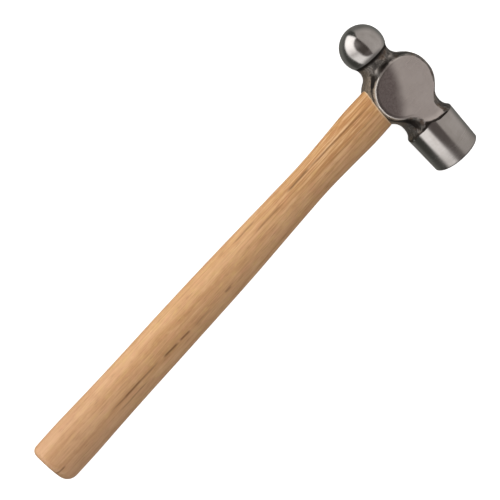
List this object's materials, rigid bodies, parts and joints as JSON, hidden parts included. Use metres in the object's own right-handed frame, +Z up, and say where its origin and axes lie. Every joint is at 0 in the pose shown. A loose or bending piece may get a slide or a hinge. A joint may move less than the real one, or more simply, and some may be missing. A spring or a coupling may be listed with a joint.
{
  "type": "ball peen hammer",
  "caption": "Forged steel hammer head with a round peen, a crowned striking face and two ground cheeks, wedged on a straight oval hickory handle.",
  "frame": {"origin": "bottom centre of the whole hammer's box, with the hammer lying on its side", "axes": "+X along the handle from the butt to the head, +Y towards the ball peen, -Y towards the striking face, +Z up and square to the ground cheeks"},
  "size_m": [0.404, 0.1298, 0.0416],
  "materials": {
    "head_steel": "ground and polished on ball, cheeks and poll, as forged between them",
    "handle_hickory": "clear lacquer",
    "wedge_wood": "raw",
    "wedge_steel": "as rolled"
  },
  "bodies": {
    "root": {"head": "head_steel", "handle": "handle_hickory", "wood_wedge": "wedge_wood", "front_steel_wedge": "wedge_steel", "rear_steel_wedge": "wedge_steel"}
  },
  "joints": []
}
